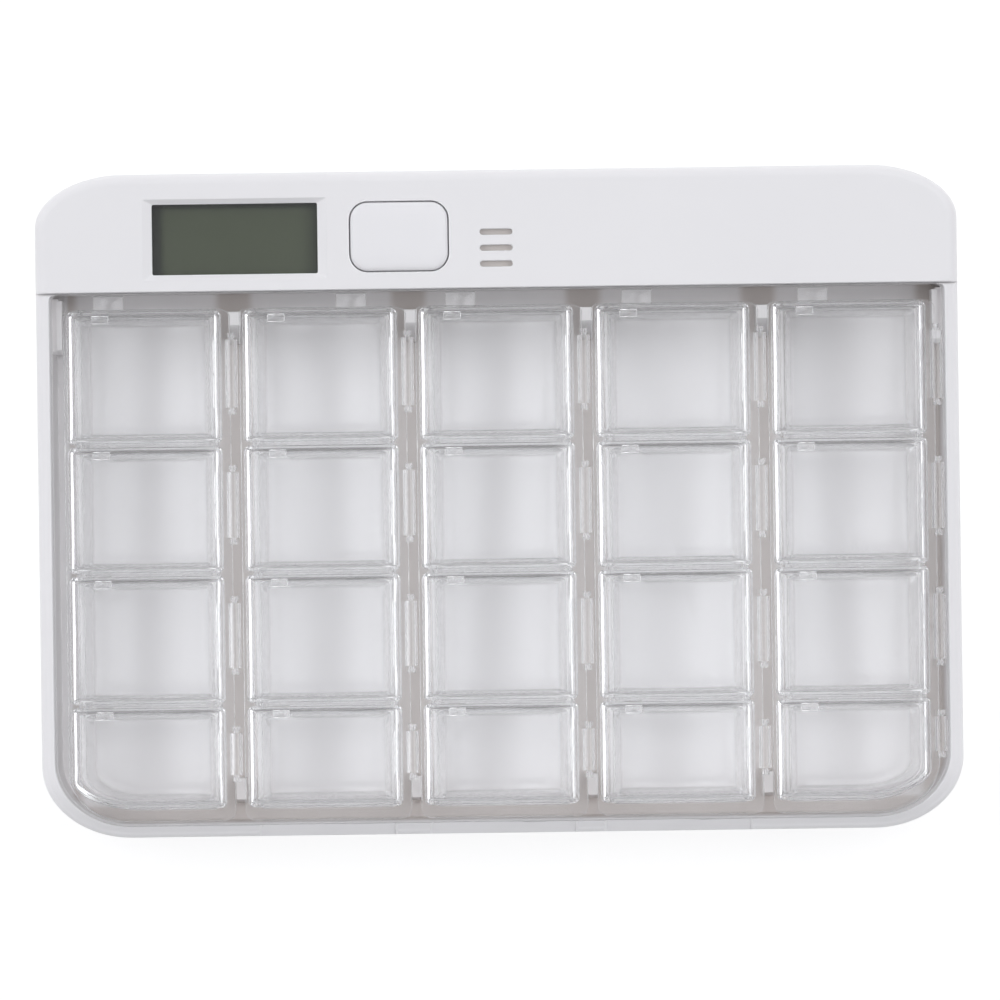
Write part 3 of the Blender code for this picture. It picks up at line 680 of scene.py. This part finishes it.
def make_tray():
    loops = [(outline(d), Z_BOTTOM + z) for d, z in quarter(1.6, 1.6, 6, up=False)]
    # The rim slopes gently outwards before it turns down.
    loops += [(outline(d), Z_RIM - 1.95 + z) for d, z in quarter(1.2, 1.1, 9)[:-2]]
    loops += [(outline(d), Z_RIM - z) for d, z in ((1.05, 0.87), (1.3, 0.70), (1.6, 0.50), (1.95, 0.28), (2.3, 0.10), (2.6, 0.02), (2.9, 0.0))]
    ob = mesh_object("tray_shell", loft(loops), (MAT["shell"], MAT["inside"]))

    def recess(d):
        r = (REC_R[0] + d, REC_R[1] + d)
        return rrect(-REC_X - d, REC_X + d, REC_Y0 - d, REC_Y1,
                     (r, r, 1.3, 1.3), (24, 24, 5, 5))
    steps = [(-0.75, Z_FLOOR), (-0.45, Z_FLOOR + 0.1), (-0.28, Z_FLOOR + 0.35), (-0.2, Z_FLOOR + 0.8),
             (-0.06, 20.9), (0.0, 21.05), (0.12, 21.15), (0.18, 21.3), (0.24, 26.0),
             (0.28, 26.25), (0.36, 26.45), (0.5, 26.58), (0.62, 26.75)]
    bm = loft([(recess(d), z) for d, z in steps])
    bay = rrect(-BAY_X, BAY_X, BAY_Y0, BAY_Y1, (1.0, 1.0, (15, 8.5), (15, 8.5)), (2, 2, 16, 16))
    loft_into(bm, [(bay, Z_FLOOR), (bay, 30.0)])
    combine(ob, bm, "DIFFERENCE")

    bm = bmesh.new()
    prism_into(bm, [(41.2, 25.5), (41.5, 25.5), (41.5, 24.7), (43.15, 24.7), (43.15, Z_SEAM), (70, Z_SEAM),
                    (70, 30), (41.2, 30)], "X", -95, 95)
    combine(ob, bm, "DIFFERENCE")

    bm = bmesh.new()
    for k in range(4):
        x = COL_X0[k] + 32.87
        sloped_into(bm, x - 1.2, x + 1.2, 31.6, 35.2, 37.8, 11.0, 20.9)
        sloped_into(bm, x - 1.0, x + 1.0, -58.6, -57.8, -53.6, 9.0, 13.0)
    for s in (-1, 1):
        a, b = sorted((s * 86.2, s * 85.1))
        sloped_into(bm, a, b, 29.9, 30.8, 40.4, 19.4, 20.9)
    box_into(bm, -52.6, -51.0, 45.0, 61.5, Z_FLOOR - 0.5, 13.0)
    box_into(bm, 51.0, 52.6, 45.0, 61.5, Z_FLOOR - 0.5, 13.0)
    for x, y in COVER_SCREWS:
        cyl_into(bm, x, y, 3.0, Z_FLOOR - 0.5, 6.5)
    combine(ob, bm, "UNION")
    bm = bmesh.new()
    for s in (-1, 1):
        a, b = sorted((s * (REC_X + 0.4), s * 85.8))
        prism_into(bm, [(29.9, Z_FLOOR - 0.4), (29.9, 19.9), (30.5, 20.4), (40.7, 20.4), (40.7, Z_FLOOR - 0.4)], "X", a, b)
    combine(ob, bm, "UNION")

    bm = bmesh.new()
    e = DOOR_X + GAP
    g = e + 1.3
    prism_into(bm, [(-e, 0.0), (e, 0.0), (e, 1.4), (g, 1.4), (g, 2.4), (e, 2.4),
                    (-e, 2.4), (-g, 2.4), (-g, 1.4), (-e, 1.4)], "Y", 45.0, 70.0)
    combine(ob, bm, "DIFFERENCE")
    bm = bmesh.new()
    box_into(bm, -50.0, 50.0, 46.2, 61.5, 2.0, 4.5)
    box_into(bm, -e, e, 62.3, 70.0, -1.0, 9.3)
    for x, y in COVER_SCREWS:
        c0, c1, c2 = disc(x, y, 2.9, 32), disc(x, y, 2.6, 32), disc(x, y, 1.35, 32)
        loft_into(bm, [(c0, 0.0), (c0, 0.8), (c1, 1.1), (c1, 2.9), (c2, 2.9), (c2, 8.0)])
    for x, y in FEET:
        cyl_into(bm, x, y, 5.0, 0.0, 1.5, 48)
    combine(ob, bm, "DIFFERENCE")

    # Shallow finger scoops in the front rim.
    bm = bmesh.new()
    for x0, x1 in ((-48.5, -19.9), (-15.2, 15.2), (18.9, 49.5)):
        lo = rrect(x0 + 1.3, x1 - 1.3, -70, -58, (2, 2, 2, 2), 4)
        hi = rrect(x0 - 0.5, x1 + 0.5, -70, -58, (3, 3, 3, 3), 4)

        def slope(drop):
            return lambda x, y: Z_RIM - drop + 0.62 * (y + 62.0) if y > -68 else Z_RIM - drop - 3.8
        loft_into(bm, [(lo, slope(0.25)), (hi, slope(-1.6))])
    combine(ob, bm, "DIFFERENCE", 30)

    def within(x, y, cx, cy, rx, ry):
        return x < cx or (y - cy) * cy < 0 or ((x - cx) / rx) ** 2 + ((y - cy) / ry) ** 2 < 1
    # Faces inside the recess and the battery bay get the darker copy: painted shade.
    paint_by_box(ob, 1, lambda c, n: Z_FLOOR - 0.1 < c.z and (
        (abs(c.x) < 87.2 and -62.45 < c.y < 43.0 and c.z < 26.2
         and within(abs(c.x), c.y, 72.45, -49.9, 15.0, 12.8))
        or (abs(c.x) < 87.6 and 42.9 < c.y < 62.7
            and within(abs(c.x), c.y, 72.5, 54.1, 15.3, 8.8))))
    finish_piece(ob, "base_tray", "housing", True)
    return ob


# -------------------------------------------------------------- control cover
def cover_loop(side, front, seg=24):
    r = inset_r(REAR_R, side)
    return rrect(-HALF_W + side, HALF_W - side, COVER_Y + front, HALF_D - side,
                 (0.4, 0.4, r, r), (3, 3, seg, seg))


def make_cover():
    loops = [(cover_loop(0.25, 0), Z_SEAM + GAP), (cover_loop(0, 0), Z_SEAM + GAP + 0.25)]
    loops += [(cover_loop(d, f), Z_COVER - 1.7 + z) for (d, z), f in zip(
        quarter(2.1, 1.7, 10), [0, 0, 0, 0, 0.01, 0.03, 0.06, 0.1, 0.16, 0.24, 0.36])]
    ob = mesh_object("cover_shell", loft(loops), (MAT["shell"], MAT["inside"], MAT["edge"]))
    plate = Z_COVER - PLATE
    inner = rrect(-88, 88, 40.0, 62.75, (0.5, 0.5, (15.4, 8.5), (15.4, 8.5)), (2, 2, 16, 16))
    combine(ob, loft([(inner, 10.0), (inner, plate)]), "DIFFERENCE")
    combine(ob, box_into(bmesh.new(), -95, 95, 38.0, 43.45, 9.0, plate), "DIFFERENCE")
    bm = bmesh.new()
    for x, y in COVER_SCREWS:
        cyl_into(bm, x, y, 2.8, 6.8, plate + 0.8)
    for x, y in ((-73.0, 58.0), (11.5, 58.6)):
        cyl_into(bm, x, y, 1.9, 19.4, plate + 0.8)
    combine(ob, bm, "UNION")
    bm = bmesh.new()
    for x, y in COVER_SCREWS:
        cyl_into(bm, x, y, 1.3, 5.0, 16.0)
    for x, y in ((-73.0, 58.0), (11.5, 58.6)):
        cyl_into(bm, x, y, 1.1, 18.0, 24.4)
    kx = (LCD_FRAME[0] - LCD_WIN[0]) / 2 / 1.2 * 0.3
    loft_into(bm, [(centred(LCD_C, (35.2, 16.2), 0.3, 2), 24.0),
                   (centred(LCD_C, (35.2, 16.2), 0.3, 2), 25.4),
                   (centred(LCD_C, LCD_WIN, 0.3, 2), 25.4),
                   (centred(LCD_C, LCD_WIN, 0.3, 2), 26.22),
                   (centred(LCD_C, (LCD_WIN[0] + 0.12, LCD_WIN[1] + 0.12), 0.3, 2), 26.32),
                   (centred(LCD_C, (LCD_WIN[0] + 0.40, LCD_WIN[1] + 0.40), 0.3, 2), 26.40),
                   (centred(LCD_C, (LCD_FRAME[0] - 0.3, LCD_FRAME[1] - 0.2), 0.3, 2), Z_COVER - 0.08),
                   (centred(LCD_C, (LCD_FRAME[0] + 0.1, LCD_FRAME[1] + 0.1), 0.35, 2), Z_COVER + 0.02),
                   (centred(LCD_C, (LCD_FRAME[0] + 2 * kx, LCD_FRAME[1] + 1.2 * kx), 0.4, 2),
                    Z_COVER + 0.3)])
    loft_into(bm, [(centred(BTN_C, BTN_HOLE, BTN_R, 12), 24.0),
                   (centred(BTN_C, BTN_HOLE, BTN_R, 12), 26.75),
                   (centred(BTN_C, BTN_HOLE, BTN_R, 12, -0.08), 26.93),
                   (centred(BTN_C, BTN_HOLE, BTN_R, 12, -0.25), 27.01),
                   (centred(BTN_C, BTN_HOLE, BTN_R, 12, -0.6), 27.1)])
    for y in SLOT_Y:
        s = [(centred((SLOT_X, y), SLOT, SLOT[1] / 2 - 0.005, 8, d), z)
             for d, z in ((0, 24.0), (0, 26.75), (-0.08, 26.93), (-0.22, 27.01), (-0.5, 27.1))]
        loft_into(bm, s)
    combine(ob, bm, "DIFFERENCE", 28)
    # Faces under the plate get the darker copy: painted shade.
    paint_by_box(ob, 1, lambda c, n: c.z < 25.2 and abs(c.x) < 88.2 and 41.0 < c.y < 63.0)
    # The chamfers round the window, the button hole and the slots get the whiter copy: painted highlight.
    rings = [(LCD_C, (LCD_WIN[0] + 0.5, LCD_WIN[1] + 0.5), 26.2), (BTN_C, (BTN_HOLE[0] + 1.0, BTN_HOLE[1] + 1.0), 26.7)]
    rings += [((SLOT_X, y), (SLOT[0] + 0.9, SLOT[1] + 0.9), 26.7) for y in SLOT_Y]
    paint_by_box(ob, 2, lambda c, n: 0.02 < n.z < 0.995 and any(
        c.z > z and abs(c.x - m[0]) < w[0] / 2 and abs(c.y - m[1]) < w[1] / 2 for m, w, z in rings))
    finish_piece(ob, "control_cover", "housing", True)
    bm = bmesh.new()
    box_into(bm, SLOT_X - 4.4, SLOT_X + 4.4, SLOT_Y[2] - 1.6, SLOT_Y[0] + 1.6, plate - 0.28, plate - 0.06)
    mesh = mesh_object("sound_mesh", bm, (MAT["mesh"],))
    finish_piece(mesh, None, "housing")
    return ob


def make_button():
    top = Z_COVER + 0.45
    size = (BTN_HOLE[0] - 0.44, BTN_HOLE[1] - 0.44)
    fl = (size[0] + 2.1, size[1] + 1.9)
    r = BTN_R - 0.22
    loops = [(centred(BTN_C, fl, r + 1, 12), 23.7), (centred(BTN_C, fl, r + 1, 12), 24.6),
             (centred(BTN_C, size, r, 12), 24.6), (centred(BTN_C, size, r, 12), top - 0.85)]
    for d, z in ((0.03, 0.70), (0.10, 0.55), (0.22, 0.40), (0.40, 0.28), (0.65, 0.19), (1.0, 0.125),
                 (1.5, 0.08), (2.2, 0.045), (3.1, 0.02), (4.3, 0.005), (5.4, 0.0)):
        loops.append((centred(BTN_C, size, r, 12, d), top - z))
    ob = mesh_object("button_cap_fine", loft(loops), (MAT["button"],), 40)
    finish_piece(ob, "button_cap", "button")


# --------------------------------------------------------------------- strips
def front_corner(k, size, small):
    return (size if k == 0 else small), (size if k == 4 else small)


def tabs(k):
    return TABS_Y[:3] + [TAB_LAST if k == 4 else TABS_Y[3]]


def make_strip(k):
    x0 = COL_X0[k]
    seg = (20 if k == 0 else 6, 20 if k == 4 else 6, 6, 6)

    def body(d):
        fl, fr = front_corner(k, (12.0, 7.0), (1.6, 1.6))
        rad = tuple(inset_r(r, d, 0.3) for r in (fl, fr, (1.6, 1.6), (1.6, 1.6)))
        return rrect(x0 + BODY_X[0] + d, x0 + BODY_X[1] - d, BODY_Y[0] + d, BODY_Y[1] - d, rad, seg)

    def flange(d):
        fl, fr = front_corner(k, (11.6, 10.0), (2.0, 2.0))
        rad = tuple(inset_r(r, d, 0.2) for r in (fl, fr, (2.6, 1.5), (1.3, 1.3)))
        return rrect(x0 + FLANGE_X[0] + d, x0 + FLANGE_X[1] - d, FLANGE_Y[0] + d, FLANGE_Y[1] - d,
                     rad, seg)
    e = 0.14
    loops = [(body(1.2), Z_STRIP0), (body(0.75), Z_STRIP0 + 0.12), (body(0.47), Z_STRIP0 + 0.42),
             (body(0.4), Z_STRIP0 + 0.8), (body(0.0), Z_FL0 - 0.2), (body(-0.06), Z_FL0 - 0.06),
             (body(-0.2), Z_FL0),
             (flange(e), Z_FL0), (flange(e * 0.3), Z_FL0 + e * 0.3), (flange(0), Z_FL0 + e),
             (flange(0), Z_FL1 - e), (flange(e * 0.3), Z_FL1 - e * 0.3), (flange(e), Z_FL1)]
    ob = mesh_object("strip_%d_clear" % (k + 1), loft(loops), (MAT["strip"],))

    bm = bmesh.new()
    t = 18.3 if k == 1 else 5.3
    soft_box_into(bm, x0 + t, x0 + t + 5.9, 37.5, 41.1, 20.3, 21.9, 0.2, 3, True)
    combine(ob, bm, "UNION")
    bm = bmesh.new()
    hx = x0 + HINGE_X
    u = ([(hx - 1.3, Z_FL0 + 0.2), (hx + 0.95, Z_FL0 + 0.2), (hx + 0.95, 24.5), (hx + 0.72, 24.5)]
         + [(hx + 0.72, 23.5), (hx + 0.62, 23.12), (hx + 0.35, 22.92), (hx, 22.88),
            (hx - 0.35, 22.92), (hx - 0.62, 23.12), (hx - 0.72, 23.5)]
         + [(hx - 0.72, 24.5), (hx - 1.3, 24.5)])
    for y0, y1 in tabs(k):
        prism_into(bm, u, "Y", y0 - 1.35, y0 - 0.35)
        prism_into(bm, u, "Y", y1 + 0.35, y1 + 1.35)
    combine(ob, bm, "UNION")

    bm = bmesh.new()
    for r, (y0, y1) in enumerate(POCKETS_Y):
        fl, fr = front_corner(k if r == 3 else 2, (11.2, 6.2), (1.2, 1.2))

        def pocket(d):
            rad = tuple(inset_r(c, d, 0.35) for c in (fl, fr, (1.2, 1.2), (1.2, 1.2)))
            return rrect(x0 + POCKET_X[0] + d, x0 + POCKET_X[1] - d, y0 + d, y1 - d, rad,
                         (16 if k == 0 and r == 3 else 5, 16 if k == 4 and r == 3 else 5, 5, 5), mid=7)
        xc, yc = x0 + sum(POCKET_X) / 2, (y0 + y1) / 2
        half = (POCKET_X[1] - POCKET_X[0]) / 2, (y1 - y0) / 2

        def floor(up):
            return crown(xc, yc, half[0], half[1], 4.4 + up, 0.75, 0.35)
        loops = [(scaled(pocket(1.5), xc, yc, t), floor(0)) for t in (0.1, 0.25, 0.4, 0.55, 0.7, 0.85, 1.0)]
        loft_into(bm, loops + [(pocket(1.18), floor(0.06)), (pocket(0.98), floor(0.28)),
                               (pocket(0.9), floor(0.7)), (pocket(0.0), Z_FL1 - 0.25),
                               (pocket(-0.06), Z_FL1 - 0.08), (pocket(-0.2), Z_FL1 + 0.01),
                               (pocket(-0.5), Z_FL1 + 0.3)])
    combine(ob, bm, "DIFFERENCE", 20)
    finish_piece(ob, "pill_strip_%d" % (k + 1), "strip_%d" % (k + 1))
    return ob


# ----------------------------------------------------------------------- lids
def make_lid(k, r):
    x0 = COL_X0[k]
    y1, y0 = ROW_Y[r] - LID_GAP, ROW_Y[r + 1] + LID_GAP
    last = r == 3
    big = (11.5, 5.9) if k == 0 else (13.6, 5.9)
    fl, fr = front_corner(k if last else 2, big, (1.2, 1.2))
    seg = (22 if last and k == 0 else 6, 22 if last and k == 4 else 6, 6, 6)
    p = (1.85 if last and k == 0 else 2.0, 1.85 if last and k == 4 else 2.0, 2.0, 2.0)
    xc, yc = x0 + LID_W / 2, (y0 + y1) / 2
    hw, hd = LID_W / 2, (y1 - y0) / 2

    def loop(d, dy=None, right=None):
        """The outline drawn in by d at the left, right at the right and dy at
        front and rear."""
        dy = d if dy is None else dy
        right = d if right is None else right
        rad = tuple((max(c[0] - d, 0.15), max(c[1] - dy, 0.15)) if isinstance(c, tuple)
                    else (max(c - d, 0.15), max(c - dy, 0.15)) for c in (fl, fr, 1.3, 1.3))
        return rrect(x0 + d, x0 + LID_W - right, y0 + dy, y1 - dy, rad, seg, p, 7)

    def under(up):
        return crown(xc, yc, hw, hd, 23.86 + up, 0.44, 0.20)
    loops = [(scaled(loop(2.9, 2.2), xc, yc, t), under(0)) for t in (0.1, 0.25, 0.4, 0.55, 0.7, 0.85, 1.0)]
    loops += [(loop(2.2, 1.7), under(-0.03)), (loop(1.65, 1.35), under(-0.16)),
              (loop(1.3, 1.12), 23.45), (loop(1.12, 0.95), 23.05),
              (loop(1.05, 0.9), Z_LID0 + 0.15), (loop(0.9, 0.78), Z_LID0),
              (loop(0.15, 0.12), Z_LID0), (loop(0.04), Z_LID0 + 0.05), (loop(0.0), Z_LID0 + 0.15)]

    def shoulder(i):
        """The rounded edge is lower at the right than on the other sides."""
        s = math.sin(math.radians(90 * i / 14))

        def z(x, y):
            t = min(max((x - (x0 + LID_W - 2.6)) / 2.0, 0.0), 1.0)
            h = 1.56 - 0.36 * t * t * (3 - 2 * t)
            return 25.06 - h + h * s
        return z
    for i in range(15):
        c = math.cos(math.radians(90 * i / 14))
        loops.append((loop(*(w * (1 - c) for w in (1.65, 0.36, 1.0))), shoulder(i)))
    # The plate is slightly crowned inside its rounded shoulder.
    over = crown(xc, yc, hw, hd, 25.045, 0.095, 0.05)
    loops += [(scaled(loop(1.65, 0.36, 1.0), xc, yc, t), over)
              for t in (0.94, 0.85, 0.75, 0.6, 0.45, 0.3, 0.15)]
    ob = mesh_object("lid_c%d_r%d_clear" % (k + 1, r + 1), loft(loops), (MAT["lid"],), 20)

    hx = x0 + HINGE_X
    t0, t1 = tabs(k)[r]
    bm = bmesh.new()
    ty = (t0 + t1) / 2
    for a, b in ((t0, ty - 0.3), (ty + 0.3, t1)):
        box_into(bm, x0 + LID_W - 0.4, hx - 0.6, a, b, 22.95, 23.45)
    combine(ob, bm, "UNION", 20)
    # The knuckle is a rounded bar with a nearly flat top.
    bm = bmesh.new()
    knuckle = rrect(hx - KNUCKLE[0], hx + KNUCKLE[0], HINGE_Z - KNUCKLE[1], HINGE_Z + KNUCKLE[1],
                    (KNUCKLE,) * 4, 9, (3.0,) * 4)
    knuckle = [q for i, q in enumerate(knuckle) if math.dist(q, knuckle[i - 1]) > 1e-6]
    prism_into(bm, knuckle, "Y", t0, t1)
    combine(ob, bm, "UNION", 20)
    bm = bmesh.new()
    prism_into(bm, disc(hx, HINGE_Z, PIN_R, 16), "Y", t0 - 1.2, t1 + 1.2)
    combine(ob, bm, "UNION", 20)
    bm = bmesh.new()
    soft_box_into(bm, x0 + 4.9, x0 + 8.3, y1 - 2.5, y1 - 1.0, Z_LID0 + 0.1, 24.4, 0.18, 3, True)
    combine(ob, bm, "UNION", 20)
    name = "lid_c%d_r%d" % (k + 1, r + 1)
    finish_piece(ob, name, name)
    return ob


# ------------------------------------------------------- nodes that stay as is
def finish_nodes():
    table = {"lcd_lens": "lens", "lcd_panel": "display", "lcd_holder": "white_frame",
             "zebra_connector": "zebra", "circuit_board": "board", "controller_chip": "black",
             "clock_crystal": "steel", "buzzer": "black", "button_pad": "silicone",
             "battery_cell_left": "cell", "battery_cell_right": "cell", "battery_spring": "steel",
             "spring_plate": "steel", "contact_plate": "steel", "battery_door": "shell",
             "board_screw_1": "steel", "board_screw_2": "steel"}
    for i in range(1, 5):
        table["cover_screw_%d" % i] = "steel"
        table["foot_%d" % i] = "rubber"
    for name, mat in table.items():
        me = nodes[name].data
        me.materials.clear()
        me.materials.append(MAT[mat])


settings()
make_camera()
make_world()
make_floor()
make_tray()
make_cover()
make_button()
for k in range(5):
    make_strip(k)
    for r in range(4):
        make_lid(k, r)
finish_nodes()
